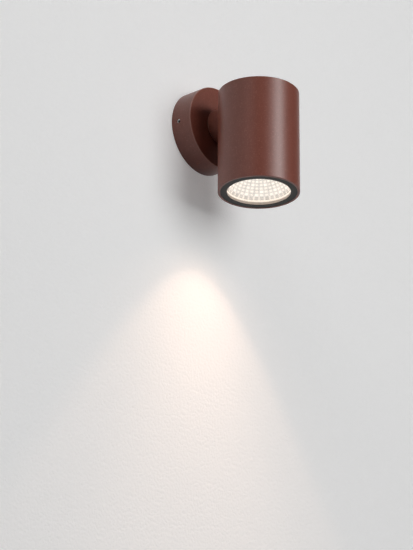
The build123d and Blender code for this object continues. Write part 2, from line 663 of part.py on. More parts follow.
sink_screw_places = [
    (sink_screw_radius * cos(radians(angle)), -sink_screw_radius * sin(radians(angle)))
    for angle in (30, 150, 270)
]
heat_sink_screws = pan_screws(
    head_level_down(sink_bottom), sink_screw_places, M3, SINK_SCREW_LENGTH
)
keep(heat_sink_screws, "heat_sink_screws")

# Light-emitting board, its phosphor disc and the ring that clamps them
with BuildPart() as led_board:
    with BuildSketch(head_level_down(sink_bottom)):
        Rectangle(BOARD_SIDE, BOARD_SIDE)
    extrude(amount=BOARD_THICKNESS)
keep(led_board, "led_board")

with BuildPart() as led_emitter:
    with BuildSketch(head_level_down(sink_bottom - BOARD_THICKNESS)):
        Circle(EMITTER_DIAMETER / 2)
    extrude(amount=EMITTER_THICKNESS)
    fillet(led_emitter.faces().sort_by(Axis.Z)[0].edges(), EMITTER_THICKNESS / 2)
keep(led_emitter, "led_emitter")

with BuildPart() as led_holder:
    with BuildSketch(head_level_down(sink_bottom)):
        Circle(holder_radius)
        with Locations(*holder_screw_places):
            Circle(M3 / 2 + HOLE_CLEARANCE, mode=Mode.SUBTRACT)
    extrude(amount=HOLDER_THICKNESS)
    with BuildSketch(head_level_down(sink_bottom)):
        pocket = BOARD_SIDE + 2 * HOLDER_POCKET_CLEARANCE
        Rectangle(pocket, pocket)
    extrude(amount=BOARD_THICKNESS, mode=Mode.SUBTRACT)
    with BuildSketch(head_level_down(sink_bottom)):
        Circle(HOLDER_OPENING / 2)
    extrude(amount=HOLDER_THICKNESS, mode=Mode.SUBTRACT)
keep(led_holder, "led_holder")

holder_screws = pan_screws(
    head_level_down(holder_bottom), holder_screw_places, M3, HOLDER_SCREW_LENGTH
)
keep(holder_screws, "holder_screws")

# Reflector: a paraboloid cup, faceted inside, with a smooth lip and a flange on the glass
facet_height = reflector_top - facet_bottom
parabola = (mouth_radius**2 - throat_radius**2) / facet_height


def reflector_radius(drop):
    """Inside radius at a drop below the throat."""
    return sqrt(throat_radius**2 + parabola * drop)


row_drops = [facet_height * (row / FACET_ROWS) ** FACET_GROWTH for row in range(FACET_ROWS + 1)]
with BuildPart() as reflector:
    with BuildSketch(out_from_wall(head_reach)):
        with BuildLine():
            middle_drop = facet_height / 3
            outside = ThreePointArc(
                (throat_radius + REFLECTOR_WALL, reflector_top),
                (reflector_radius(middle_drop) + REFLECTOR_WALL, reflector_top - middle_drop),
                (mouth_radius + REFLECTOR_WALL, reflector_bottom + REFLECTOR_FLANGE_THICKNESS),
            )
            Polyline(
                outside @ 1,
                (mouth_radius + REFLECTOR_FLANGE_WIDTH, reflector_bottom + REFLECTOR_FLANGE_THICKNESS),
                (mouth_radius + REFLECTOR_FLANGE_WIDTH, reflector_bottom),
                (0, reflector_bottom),
                (0, reflector_top),
                outside @ 0,
            )
        make_face()
    revolve(axis=head_axis)
    for drop in row_drops:
        with BuildSketch(head_level_down(reflector_top - drop)):
            RegularPolygon(reflector_radius(drop), FACET_COLUMNS)
    loft(ruled=True, mode=Mode.SUBTRACT)
    with BuildSketch(head_level(reflector_bottom)):
        Circle(mouth_radius)
    extrude(amount=REFLECTOR_LIP, mode=Mode.SUBTRACT)
keep(reflector, "reflector")

# Front glass on its gasket
with BuildPart() as front_glass:
    with BuildSketch(head_level(glass_bottom)):
        Circle(glass_radius)
    extrude(amount=GLASS_THICKNESS)
    chamfer(front_glass.edges().filter_by(GeomType.CIRCLE), GLASS_THICKNESS / 10)
keep(front_glass, "front_glass")

# Both rings below share this line: from the bezel's inner edge up its bevel
bevel_start = (bezel_inner_radius, bezel_face_level + BEZEL_EDGE)
bevel_end = (bezel_inner_radius + BEZEL_BEVEL, bezel_face_level + BEZEL_FACE)
bevel_slope = (bevel_end[1] - bevel_start[1]) / BEZEL_BEVEL
with BuildPart() as lens_gasket:
    with BuildSketch(out_from_wall(head_reach)):
        with BuildLine():
            Polyline(
                (gasket_inner_radius, bevel_start[1] + GASKET_STEP * bevel_slope),
                bevel_end,
                (gasket_outer_radius, bevel_end[1]),
                (gasket_outer_radius, glass_top),
                (glass_radius + SEAT_CLEARANCE, glass_top),
                (glass_radius + SEAT_CLEARANCE, glass_bottom),
                (gasket_inner_radius, glass_bottom),
                close=True,
            )
        make_face()
    revolve(axis=head_axis)
keep(lens_gasket, "lens_gasket")

# Bezel: the dark ring that screws into the can and holds the gasket and glass
with BuildPart() as bezel:
    with BuildSketch(out_from_wall(head_reach)):
        with BuildLine():
            Polyline(
                (bezel_inner_radius, bezel_face_level),
                (bezel_outer_radius, bezel_face_level),
                (bezel_outer_radius, bezel_face_level + BEZEL_HEIGHT),
                (bezel_outer_radius - BEZEL_WALL, bezel_face_level + BEZEL_HEIGHT),
                (bezel_outer_radius - BEZEL_WALL, bevel_end[1]),
                bevel_end,
                bevel_start,
                close=True,
            )
        make_face()
    revolve(axis=head_axis)
keep(bezel, "bezel")

# Driver on the heat sink, held by an ear at each side
with BuildPart() as led_driver:
    with BuildSketch(head_level(sink_top)):
        with Locations((0, -driver_offset)):
            Rectangle(2 * driver_half_width, DRIVER_DEPTH)
    extrude(amount=DRIVER_HEIGHT)
    fillet(led_driver.edges().filter_by(Axis.Z), DRIVER_EDGE)
    with BuildSketch(head_level(sink_top)):
        with Locations((0, -driver_offset)):
            Rectangle(2 * (driver_half_width + DRIVER_EAR_LENGTH), DRIVER_EAR_DEPTH)
    extrude(amount=DRIVER_EAR_THICKNESS)
    with BuildSketch(head_level(sink_top)):
        with Locations(*driver_screw_places):
            Circle(M3 / 2 + HOLE_CLEARANCE)
    extrude(amount=DRIVER_EAR_THICKNESS, mode=Mode.SUBTRACT)
keep(led_driver, "led_driver")

driver_screws = pan_screws(
    head_level(sink_top + DRIVER_EAR_THICKNESS), driver_screw_places, M3, DRIVER_SCREW_LENGTH
)
keep(driver_screws, "driver_screws")

# Supply lead in the base: from the spindle, round a bend, to its stripped sheath end
base_lead = round_lead(
    [(0, -lead_joint_out, 0), (0, -lead_out, 0), (lead_sheath_end, -lead_out, 0)],
    [lead_bend],
    LEAD_DIAMETER,
)
keep(base_lead, "base_lead")

# Its three cores, fanned out to the poles of the terminal block
core_run = terminal_near - lead_sheath_end
with BuildPart() as lead_cores:
    for step in (-1, 0, 1):
        start_height = CORE_SPACING * step
        end_height = TERMINAL_PITCH * step
        with BuildLine() as core_route:
            if step == 0:
                Line((lead_sheath_end, -lead_out, 0), (terminal_near, -lead_out, 0))
            else:
                FilletPolyline(
                    (lead_sheath_end, -lead_out, start_height),
                    (lead_sheath_end + core_run * 0.25, -lead_out, start_height),
                    (terminal_near - core_run * 0.25, -lead_out, end_height),
                    (terminal_near, -lead_out, end_height),
                    radius=core_run * CORE_BEND_SHARE,
                )
        with BuildSketch(Plane.YZ.offset(lead_sheath_end)):
            with Locations((-lead_out, start_height)):
                Circle(CORE_DIAMETER / 2)
        sweep(path=core_route.line)
keep(lead_cores, "lead_cores")

# Supply lead in the head: from the same joint in the spindle to the driver's rear face
lead_middle_out = (spindle_front_out + driver_rear_out) / 2
head_lead = round_lead(
    [
        (0, -lead_joint_out, 0),
        (0, -(lead_middle_out - head_lead_drop / 2), 0),
        (0, -(lead_middle_out + head_lead_drop / 2), -head_lead_drop),
        (0, -driver_rear_out, -head_lead_drop),
    ],
    [HEAD_LEAD_BEND, HEAD_LEAD_BEND],
    LEAD_DIAMETER,
)
keep(head_lead, "head_lead")

# Two wires from the driver's side, down through the heat sink, to the holder
with BuildPart() as led_wires:
    for across, forward in led_wire_places:
        wire_y = -head_reach + forward
        holder_side = sqrt(holder_radius**2 - forward**2)
        wire_end_level = (sink_bottom + holder_bottom) / 2
        with BuildLine() as wire_route:
            FilletPolyline(
                (driver_half_width, wire_y, -LED_WIRE_DROP),
                (across, wire_y, -LED_WIRE_DROP),
                (across, wire_y, wire_end_level),
                (holder_side + SEAT_CLEARANCE, wire_y, wire_end_level),
                radius=LED_WIRE_BEND,
            )
        with BuildSketch(Plane.YZ.offset(driver_half_width)):
            with Locations((wire_y, -LED_WIRE_DROP)):
                Circle(LED_WIRE_DIAMETER / 2)
        sweep(path=wire_route.line)
keep(led_wires, "led_wires")
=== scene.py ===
import json
from math import cos, exp, pi, radians, sin, sqrt, tan
import bpy
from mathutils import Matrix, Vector

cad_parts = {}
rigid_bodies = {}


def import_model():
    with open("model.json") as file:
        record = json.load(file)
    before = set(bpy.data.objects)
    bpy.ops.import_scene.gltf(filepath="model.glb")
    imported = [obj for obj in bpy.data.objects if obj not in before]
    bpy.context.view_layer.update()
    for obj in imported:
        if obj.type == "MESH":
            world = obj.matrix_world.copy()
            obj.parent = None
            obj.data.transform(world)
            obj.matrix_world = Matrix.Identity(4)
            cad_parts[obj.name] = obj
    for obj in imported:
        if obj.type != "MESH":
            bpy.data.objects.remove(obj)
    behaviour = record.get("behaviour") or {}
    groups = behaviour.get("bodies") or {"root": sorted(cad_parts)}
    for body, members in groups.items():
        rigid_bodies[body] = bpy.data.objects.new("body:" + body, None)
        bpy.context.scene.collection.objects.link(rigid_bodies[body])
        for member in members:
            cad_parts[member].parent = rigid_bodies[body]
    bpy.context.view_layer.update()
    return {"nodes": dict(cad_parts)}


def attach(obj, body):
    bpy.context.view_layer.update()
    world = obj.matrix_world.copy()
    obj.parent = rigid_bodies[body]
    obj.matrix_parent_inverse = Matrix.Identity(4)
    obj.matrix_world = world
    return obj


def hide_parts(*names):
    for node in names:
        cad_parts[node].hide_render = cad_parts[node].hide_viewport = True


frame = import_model()
nodes = frame["nodes"]
scene = bpy.context.scene
scene.view_settings.view_transform = "Standard"

MM = 0.001
WHITE, BLACK = (1.0, 1.0, 1.0), (0.0, 0.0, 0.0)

# Sizes in millimetres that the dressed pieces share with the solids
HEAD_REACH = 76.5
REFLECTOR_TOP = -50.0
REFLECTOR_BOTTOM = -78.4
THROAT_RADIUS = 9.0
MOUTH_RADIUS = 31.5
LIP_HEIGHT = 1.2
FLANGE_RADIUS = 34.5
FLANGE_THICKNESS = 1.5
CUP_WALL = 1.3

# Facets of the reflector, in millimetres; towards the mouth the rows are taller and bulge more
FACETED_HEIGHT = REFLECTOR_TOP - REFLECTOR_BOTTOM - LIP_HEIGHT
FACET_COLUMNS = 36
FACET_ROWS = 11
FACET_GROWTH = 1.2
FACET_STEPS = 8
FACET_PILLOW = 0.25
PILLOW_FIRST, PILLOW_WHOLE = 3, 12
PILLOW_DROOP = 0.35
LIP_BREAK = 0.35

# Painted reflected light on a facet, 0 to 1: ground, painted highlight in the middle, darker
# joints, small differences
FACET_SHADE = 0.665
MIDDLE_HIGHLIGHT = 0.32
MIDDLE_WIDTH, MIDDLE_HEIGHT = 0.6, 0.55
JOINT_SHADE = 0.26
JOINT_START, JOINT_END = 0.6, 1.0
TWINKLES = ((0.07, 7.3, 4.1), (0.05, -2.9, 3.7))
# The last row has painted dark reflections in the middles of its facets, with brighter sides
LAST_ROW_SHADE = 0.41
LAST_ROW_SIDES = 0.4
SIDE_START, SIDE_END = 0.5, 0.95
# Painted light on the lip, the flange's face and the back, by how the lamp's light falls on them
LIP_SHADE, FLANGE_SHADE, BACK_SHADE = 0.98, 0.5, 0.1

# Shared effects: scales are in features per metre, and shares are of the grains' scale
CLOUD_SHARE = 0.16
FLECK_SHARE = 0.62
PIT_DARKNESS = 0.3
LINE_STRETCH = (1.0, 0.04, 1.0)
STAIN_SCALE = 160.0
STAIN_ROUGHNESS = 0.1
DUST_SCALE = 420.0
DUST_ROUGHNESS = 0.12
SKIN_SCALE = 2400.0

# Glass, light source and reflector, in features per metre
SMEAR_SCALE = 70.0
CHIP_SCALE = 700.0
HAZE_SCALE = 260.0

# Painted highlights: paler lines on the coat's round edges, in millimetres: radius, place on Y and
# strength of each, and the half widths of a line without and with its fade
BASE_FRONT_HIGHLIGHT = (42.2, -23.8, 0.25)
NECK_REAR_HIGHLIGHT = (17.8, -25.2, 1.0)
EDGE_HIGHLIGHT_COLOUR = (0.45, 0.25, 0.2)
EDGE_LINE, EDGE_FADE = 0.5, 0.8

# Painted shade in the grub screws' sockets, in millimetres and degrees
SOCKET_PLACE = -9.3
SOCKET_TILT = 3.4
SOCKET_DROP = 0.3
SOCKET_RADIUS = 1.45
SOCKET_FADE = 0.15
SOCKET_SHADE_COLOUR = (0.008, 0.007, 0.006)

# Wire insulation, with the borders between colours in millimetres
INSULATION = {"Bloom Colour": (0.5, 0.5, 0.48), "Bloom": 0.12, "Roughness": 0.4}
CORE_BORDER = 0.75
CORE_BROWN, CORE_GREEN, CORE_BLUE = (0.09, 0.035, 0.015), (0.05, 0.22, 0.05), (0.02, 0.08, 0.3)
WIRE_BORDER = 3.5
WIRE_BLACK, WIRE_RED = (0.015, 0.015, 0.015), (0.35, 0.02, 0.015)

# Stage in metres; each paint has its tone, its own glow, and its further glow where it is seen
FLOOR_LEVEL = -1.5
FLOOR_REACH = 14.0
FLOOR_PAINT = (0.1, 0.0, 0.66)
WALL_REACH = 4.0
WALL_HOLE = 0.0405
WALL_GAP = 0.0002
WALL_STEPS = 64
WALL_PAINT = (0.87, 0.065, 0.155)
PLASTER_SCALE = 340.0
PLASTER_DEPTH = 0.0012
PLASTER_STRENGTH = 0.5

# Lamps, room and camera, in metres; the even strength leaves a gently falling beam as bright at
# 0.2 m as a bare lamp
LAMP_FAR = 2.0
LAMP_AIM = (0.0, -0.04, -0.04)
BEAM_COLOUR = (1.0, 0.65, 0.44)
BEAM_SOURCE = 0.003
EVEN_STRENGTH = 5.0
BACKGROUND = 0.7
ROOM_IN_GLOSS = 0.08
ROOM_LIGHT = 0.02
WINDOW_TOWARDS = (-0.64, -0.05, 0.766)
WINDOW_START, WINDOW_MIDDLE = 0.9, 1.0
WINDOW_GLOW = 3.4
SENSOR_WIDTH = 36.0
CAMERA_LENS = 172.316
CAMERA_PLACE = (-1.775524, -1.589693, -1.122309)
CAMERA_TURN = (1.957815, -0.005182, -0.845546)


# Node helpers

# The Mix node's sockets for colours: the amount and the two colours, and what it puts out
MIX_INPUTS, MIX_RESULT = (0, 6, 7), 2


def add(tree, kind, **settings):
    """A shader node with its settings."""
    node = tree.nodes.new(kind)
    for name, value in settings.items():
        setattr(node, name, value)
    return node


def node_of(tree, kind):
    """The node of that type that a tree has from the start."""
    return next(node for node in tree.nodes if node.type == kind)


def link(tree, out_socket, in_socket):
    """Joins two sockets."""
    tree.links.new(out_socket, in_socket)


def feed(tree, socket, value):
    """Gives a socket a number, a colour or what another socket puts out."""
    if isinstance(value, tuple):
        socket.default_value = (*value, 1.0)
    elif isinstance(value, (int, float)):
        socket.default_value = value
    else:
        link(tree, value, socket)


def feed_all(tree, node, values):
    """Feeds a node's sockets by name."""
    for label, value in values.items():
        feed(tree, node.inputs[label], value)


def object_place(tree):
    """Where a point lies on its object."""
    return add(tree, "ShaderNodeTexCoord").outputs["Object"]


def object_axes(tree):
    """The X, Y and Z of a point on its object."""
    axes = add(tree, "ShaderNodeSeparateXYZ")
    link(tree, object_place(tree), axes.inputs["Vector"])
    return axes.outputs


def math_node(tree, operation, *values, clamp=False):
    """A math node whose inputs are sockets or plain numbers."""
    node = add(tree, "ShaderNodeMath", operation=operation, use_clamp=clamp)
    for socket, value in zip(node.inputs, values):
        feed(tree, socket, value)
    return node.outputs[0]


def distance(tree, aside, above):
    """How far a point is from an axis, from its two sides."""
    squares = [math_node(tree, "MULTIPLY", side, side) for side in (aside, above)]
    return math_node(tree, "SQRT", math_node(tree, "ADD", *squares))


def mix_colour(tree, amount, first, second):
    """A colour mix whose inputs are sockets or plain colours."""
    node = add(tree, "ShaderNodeMix", data_type="RGBA")
    for index, value in zip(MIX_INPUTS, (amount, first, second)):
        feed(tree, node.inputs[index], value)
    return node.outputs[MIX_RESULT]


def tint(tree, mask, amount, colour, other):
    """A colour with some of another one where a mask shows."""
    return mix_colour(tree, math_node(tree, "MULTIPLY", mask, amount), colour, other)


def spread(tree, value, low, high, to_low=0.0, to_high=1.0):
    """Maps a value's range onto another, clamped."""
    node = add(tree, "ShaderNodeMapRange", clamp=True)
    feed_all(tree, node, {"Value": value, "From Min": low, "From Max": high,
                          "To Min": to_low, "To Max": to_high})
    return node.outputs["Result"]


def noise(tree, place, scale, detail, roughness):
    """Noise value; the scale is in features per metre, a number or a socket."""
    node = add(tree, "ShaderNodeTexNoise")
    feed_all(tree, node, {"Vector": place, "Scale": scale, "Detail": detail,
                          "Roughness": roughness})
    return node.outputs["Fac"]


def relief(tree, shader, height, depth, strength=1.0):
    """A bump on a shader, of that depth in metres."""
    bump = add(tree, "ShaderNodeBump")
    feed_all(tree, bump, {"Height": height, "Distance": depth, "Strength": strength})
    link(tree, bump.outputs["Normal"], shader.inputs["Normal"])


def new_group(name, defaults, results=("Colour", "Roughness", "Height")):
    """An empty node group with named sockets; returns its tree, its inputs and its last node."""
    group = bpy.data.node_groups.new(name, "ShaderNodeTree")
    for label, default in defaults.items():
        kind = "NodeSocketColor" if isinstance(default, tuple) else "NodeSocketFloat"
        socket = group.interface.new_socket(label, in_out="INPUT", socket_type=kind)
        feed(group, socket, default)
    for label in results:
        kind = "NodeSocketColor" if label == "Colour" else "NodeSocketFloat"
        group.interface.new_socket(label, in_out="OUTPUT", socket_type=kind)
    return group, add(group, "NodeGroupInput").outputs, add(group, "NodeGroupOutput")


def place_group(tree, group, values):
    """A shared effect in a material, with its own values."""
    effect = add(tree, "ShaderNodeGroup", node_tree=group)
    feed_all(tree, effect, values)
    return effect


# Shared surface effects

def make_edge_highlight():
    """A painted highlight: a thin paler line on a round edge about the Y axis, where the fillet
    catches the light.
    """
    group, given, result = new_group(
        "edge_highlight",
        {"Colour": (0.5, 0.5, 0.5), "Highlight Colour": (0.6, 0.6, 0.6),
         "Edge Radius": 0.04, "Edge Place": 0.0, "Strength": 1.0},
        ("Colour",),
    )
    axes = object_axes(group)
    radius = distance(group, axes["X"], axes["Z"])
    aside = math_node(group, "SUBTRACT", radius, given["Edge Radius"])
    along = math_node(group, "SUBTRACT", axes["Y"], given["Edge Place"])
    away = [math_node(group, "ABSOLUTE", side) for side in (aside, along)]
    line = spread(group, math_node(group, "MAXIMUM", *away),
                  EDGE_LINE * MM, EDGE_FADE * MM, 1.0, 0.0)
    colour = tint(group, line, given["Strength"], given["Colour"], given["Highlight Colour"])
    feed_all(group, result, {"Colour": colour})
    return group


def make_powder_grain():
    """Powder coat or moulded grain: fine pebbles, darker pits, paler flecks and slow mottling."""
    group, given, result = new_group(
        "powder_grain",
        {"Colour": (0.5, 0.5, 0.5), "Fleck Colour": (0.6, 0.6, 0.6), "Grains per Metre": 1500.0,
         "Fleck Amount": 0.3, "Mottle": 0.2, "Roughness": 0.45},
    )
    place, grains = object_place(group), given["Grains per Metre"]
    cloud_scale = math_node(group, "MULTIPLY", grains, CLOUD_SHARE)
    fleck_scale = math_node(group, "MULTIPLY", grains, FLECK_SHARE)
    pebbles = noise(group, place, grains, detail=3.0, roughness=0.6)
    slow = noise(group, place, cloud_scale, detail=4.0, roughness=0.55)
    clouds = spread(group, slow, 0.3, 0.7)
    specks = noise(group, place, fleck_scale, detail=1.0, roughness=0.4)
    flecks = spread(group, specks, 0.6, 0.72)
    pits = spread(group, pebbles, 0.44, 0.3)
    mottled = tint(group, clouds, given["Mottle"], given["Colour"], given["Fleck Colour"])
    flecked = tint(group, flecks, given["Fleck Amount"], mottled, given["Fleck Colour"])
    pitted = tint(group, pits, PIT_DARKNESS, flecked, BLACK)
    shift = spread(group, pebbles, 0.3, 0.7, -0.05, 0.05)
    roughness = math_node(group, "ADD", given["Roughness"], shift)
    feed_all(group, result, {"Colour": pitted, "Roughness": roughness, "Height": pebbles})
    return group


def make_turned_marks():
    """Fine tool lines and a faint cloudiness on bare or plated metal."""
    group, given, result = new_group(
        "turned_marks",
        {"Colour": (0.6, 0.6, 0.6), "Stain Colour": (0.4, 0.4, 0.4), "Lines per Metre": 6000.0,
         "Stain": 0.3, "Roughness": 0.3},
    )
    place = object_place(group)
    stretch = add(group, "ShaderNodeMapping")
    stretch.inputs["Scale"].default_value = LINE_STRETCH
    link(group, place, stretch.inputs["Vector"])
    lines = noise(group, stretch.outputs["Vector"], given["Lines per Metre"],
                  detail=2.0, roughness=0.6)
    cloud = noise(group, place, STAIN_SCALE, detail=5.0, roughness=0.6)
    stain = spread(group, cloud, 0.45, 0.7)
    colour = tint(group, stain, given["Stain"], given["Colour"], given["Stain Colour"])
    shift = math_node(group, "ADD", spread(group, lines, 0.3, 0.7, -0.06, 0.06),
                      math_node(group, "MULTIPLY", stain, STAIN_ROUGHNESS))
    roughness = math_node(group, "ADD", given["Roughness"], shift)
    feed_all(group, result, {"Colour": colour, "Roughness": roughness, "Height": lines})
    return group


def make_rubber_bloom():
    """The dull, slightly dusty skin of rubber and silicone."""
    group, given, result = new_group(
        "rubber_bloom",
        {"Colour": (0.02, 0.02, 0.02), "Bloom Colour": (0.1, 0.1, 0.1),
         "Bloom": 0.3, "Roughness": 0.6},
    )
    place = object_place(group)
    cloud = noise(group, place, DUST_SCALE, detail=5.0, roughness=0.65)
    dust = spread(group, cloud, 0.4, 0.7)
    skin = noise(group, place, SKIN_SCALE, detail=2.0, roughness=0.5)
    colour = tint(group, dust, given["Bloom"], given["Colour"], given["Bloom Colour"])
    shift = math_node(group, "MULTIPLY", dust, DUST_ROUGHNESS)
    roughness = math_node(group, "ADD", given["Roughness"], shift)
    feed_all(group, result, {"Colour": colour, "Roughness": roughness, "Height": skin})
    return group


edge_highlight = make_edge_highlight()
powder_grain = make_powder_grain()
turned_marks = make_turned_marks()
rubber_bloom = make_rubber_bloom()


# Materials

def bare_material(name):
    """A material with one Principled shader; returns it with its tree and shader."""
    material = bpy.data.materials.new(name)
    material.use_nodes = True
    tree = material.node_tree
    return material, tree, node_of(tree, "BSDF_PRINCIPLED")


def dress(tree, shader, group, values):
    """Gives a shader the colour and roughness of a shared effect."""
    effect = place_group(tree, group, values)
    feed_all(tree, shader, {"Base Color": effect.outputs["Colour"],
                            "Roughness": effect.outputs["Roughness"]})
    return effect


def finish_material(name, group, values, bump_depth, plain=None):
    """A finish from a shared effect, with its relief in metres and plain values of the shader."""
    material, tree, shader = bare_material(name)
    effect = dress(tree, shader, group, values)
    relief(tree, shader, effect.outputs["Height"], bump_depth)
    feed_all(tree, shader, plain or {})
    return material


def paint_edge_highlights(material, *edges):
    """Painted highlights: paler lines on round edges of a finish."""
    tree = material.node_tree
    colour = node_of(tree, "BSDF_PRINCIPLED").inputs["Base Color"]
    for edge_radius, edge_place, strength in edges:
        line = place_group(tree, edge_highlight, {
            "Colour": colour.links[0].from_socket, "Highlight Colour": EDGE_HIGHLIGHT_COLOUR,
            "Edge Radius": edge_radius * MM, "Edge Place": edge_place * MM, "Strength": strength,
        })
        link(tree, line.outputs["Colour"], colour)


def paint_socket_shade(material):
    """Painted shade over the sockets and a little round them, low in screws near the X axis that
    tilt up along it.
    """
    tree = material.node_tree
    colour = node_of(tree, "BSDF_PRINCIPLED").inputs["Base Color"]
    axes = object_axes(tree)
    screw_height = math_node(tree, "MULTIPLY", axes["X"], tan(radians(SOCKET_TILT)))
    socket_height = math_node(tree, "SUBTRACT", screw_height, SOCKET_DROP * MM)
    aside = math_node(tree, "SUBTRACT", axes["Y"], SOCKET_PLACE * MM)
    above = math_node(tree, "SUBTRACT", axes["Z"], socket_height)
    shaded = spread(tree, distance(tree, aside, above), (SOCKET_RADIUS - SOCKET_FADE) * MM,
                    (SOCKET_RADIUS + SOCKET_FADE) * MM, 1.0, 0.0)
    steel = colour.links[0].from_socket
    link(tree, mix_colour(tree, shaded, steel, SOCKET_SHADE_COLOUR), colour)


def striped_insulation(name, axis, stripes, last_colour):
    """Wire insulation coloured by place; each stripe has an upper limit in mm and a colour."""
    material, tree, shader = bare_material(name)
    along = object_axes(tree)[axis]
    colour = last_colour
    for limit, below in reversed(stripes):
        under = math_node(tree, "LESS_THAN", along, limit * MM)
        colour = mix_colour(tree, under, colour, below)
    dress(tree, shader, rubber_bloom, {**INSULATION, "Colour": colour})
    return material


def make_clear_glass():
    """Clear glass with a faint smear."""
    material, tree, shader = bare_material("clear_glass")
    smear = noise(tree, object_place(tree), SMEAR_SCALE, detail=4.0, roughness=0.6)
    feed_all(tree, shader, {
        "Base Color": (0.97, 0.985, 0.98), "Transmission Weight": 1.0, "IOR": 1.47,
        "Roughness": spread(tree, smear, 0.45, 0.75, 0.0, 0.03),
    })
    return material


def make_phosphor():
    """Lit phosphor disc with a grain of small chips under it."""
    material, tree, shader = bare_material("phosphor")
    chips = add(tree, "ShaderNodeTexVoronoi", feature="F1", distance="CHEBYCHEV")
    feed_all(tree, chips, {"Vector": object_place(tree), "Scale": CHIP_SCALE})
    cell = spread(tree, chips.outputs["Distance"], 0.2, 0.6)
    feed_all(tree, shader, {
        "Base Color": (0.9, 0.68, 0.25), "Roughness": 0.35, "Emission Strength": 4.0,
        "Emission Color": mix_colour(tree, cell, (1.0, 0.9, 0.72), (1.0, 0.78, 0.48)),
    })
    return material


def make_reflector_bright():
    """Metallised facets with a painted glow for the lamp's reflected light: painted highlights in
    the cells, darker joints.
    """
    material, tree, shader = bare_material("reflector_bright")
    shade = add(tree, "ShaderNodeAttribute", attribute_name="painted_facet_glow").outputs["Fac"]
    cloud = noise(tree, object_place(tree), HAZE_SCALE, detail=3.0, roughness=0.5)
    haze = spread(tree, cloud, 0.3, 0.7, -0.05, 0.05)
    light = math_node(tree, "ADD", shade, haze, clamp=True)
    feed_all(tree, shader, {
        "Base Color": mix_colour(tree, light, (0.16, 0.15, 0.14), (0.5, 0.48, 0.46)),
        "Metallic": 1.0, "Roughness": 0.22, "Emission Strength": 1.0,
        "Emission Color": mix_colour(tree, light, (0.2, 0.16, 0.13), (1.0, 0.868, 0.758)),
    })
    return material


METAL = {"Metallic": 1.0}
STAINLESS = {"Colour": (0.55, 0.54, 0.53), "Stain Colour": (0.4, 0.39, 0.38),
             "Lines per Metre": 9000.0, "Stain": 0.3, "Roughness": 0.25}

rust_coat = finish_material(
    "rust_coat", powder_grain,
    {"Colour": (0.178, 0.0465, 0.0285), "Fleck Colour": (0.27, 0.095, 0.068),
     "Grains per Metre": 1150.0, "Fleck Amount": 0.5, "Mottle": 0.15, "Roughness": 0.38},
    bump_depth=0.00004, plain={"Specular IOR Level": 0.54},
)
# Painted highlights on the base's front edge and the neck's rear edge
paint_edge_highlights(rust_coat, BASE_FRONT_HIGHLIGHT, NECK_REAR_HIGHLIGHT)
bezel_coat = finish_material(
    "bezel_coat", powder_grain,
    {"Colour": (0.03, 0.03, 0.029), "Fleck Colour": (0.05, 0.05, 0.048),
     "Grains per Metre": 2600.0, "Fleck Amount": 0.25, "Mottle": 0.15, "Roughness": 0.7},
    bump_depth=0.00003,
)
acetal = finish_material(
    "acetal", powder_grain,
    {"Colour": (0.03, 0.03, 0.03), "Fleck Colour": (0.05, 0.05, 0.05),
     "Grains per Metre": 3000.0, "Fleck Amount": 0.1, "Mottle": 0.1, "Roughness": 0.4},
    bump_depth=0.00002,
)
white_plastic = finish_material(
    "white_plastic", powder_grain,
    {"Colour": (0.72, 0.71, 0.67), "Fleck Colour": (0.8, 0.79, 0.76),
     "Grains per Metre": 2200.0, "Fleck Amount": 0.15, "Mottle": 0.2, "Roughness": 0.42},
    bump_depth=0.00002,
)
driver_case = finish_material(
    "driver_case", powder_grain,
    {"Colour": (0.5, 0.5, 0.48), "Fleck Colour": (0.58, 0.58, 0.56),
     "Grains per Metre": 1600.0, "Fleck Amount": 0.2, "Mottle": 0.25, "Roughness": 0.5},
    bump_depth=0.00004,
)
bracket_zinc = finish_material(
    "bracket_zinc", turned_marks,
    {"Colour": (0.56, 0.57, 0.58), "Stain Colour": (0.4, 0.41, 0.43),
     "Lines per Metre": 2500.0, "Stain": 0.5, "Roughness": 0.36},
    bump_depth=0.00001, plain=METAL,
)
plated_steel = finish_material(
    "plated_steel", turned_marks,
    {"Colour": (0.6, 0.59, 0.55), "Stain Colour": (0.5, 0.46, 0.36),
     "Lines per Metre": 6000.0, "Stain": 0.35, "Roughness": 0.28},
    bump_depth=0.00001, plain=METAL,
)
stainless = finish_material(
    "stainless", turned_marks, STAINLESS, bump_depth=0.000006, plain=METAL)
grub_steel = finish_material(
    "grub_steel", turned_marks, STAINLESS, bump_depth=0.000006, plain=METAL)
# Painted shade in the sockets of the grub screws
paint_socket_shade(grub_steel)
earth_brass = finish_material(
    "earth_brass", turned_marks,
    {"Colour": (0.72, 0.5, 0.19), "Stain Colour": (0.45, 0.28, 0.1),
     "Lines per Metre": 7000.0, "Stain": 0.35, "Roughness": 0.28},
    bump_depth=0.000008, plain=METAL,
)
sink_aluminium = finish_material(
    "sink_aluminium", turned_marks,
    {"Colour": (0.68, 0.68, 0.69), "Stain Colour": (0.55, 0.55, 0.57),
     "Lines per Metre": 3000.0, "Stain": 0.25, "Roughness": 0.38},
    bump_depth=0.00002, plain=METAL,
)
black_rubber = finish_material(
    "black_rubber", rubber_bloom,
    {"Colour": (0.018, 0.018, 0.018), "Bloom Colour": (0.06, 0.06, 0.058),
     "Bloom": 0.4, "Roughness": 0.62},
    bump_depth=0.00003,
)
cable_sheath = finish_material(
    "cable_sheath", rubber_bloom,
    {"Colour": (0.014, 0.014, 0.014), "Bloom Colour": (0.04, 0.04, 0.04),
     "Bloom": 0.3, "Roughness": 0.5},
    bump_depth=0.00002,
)
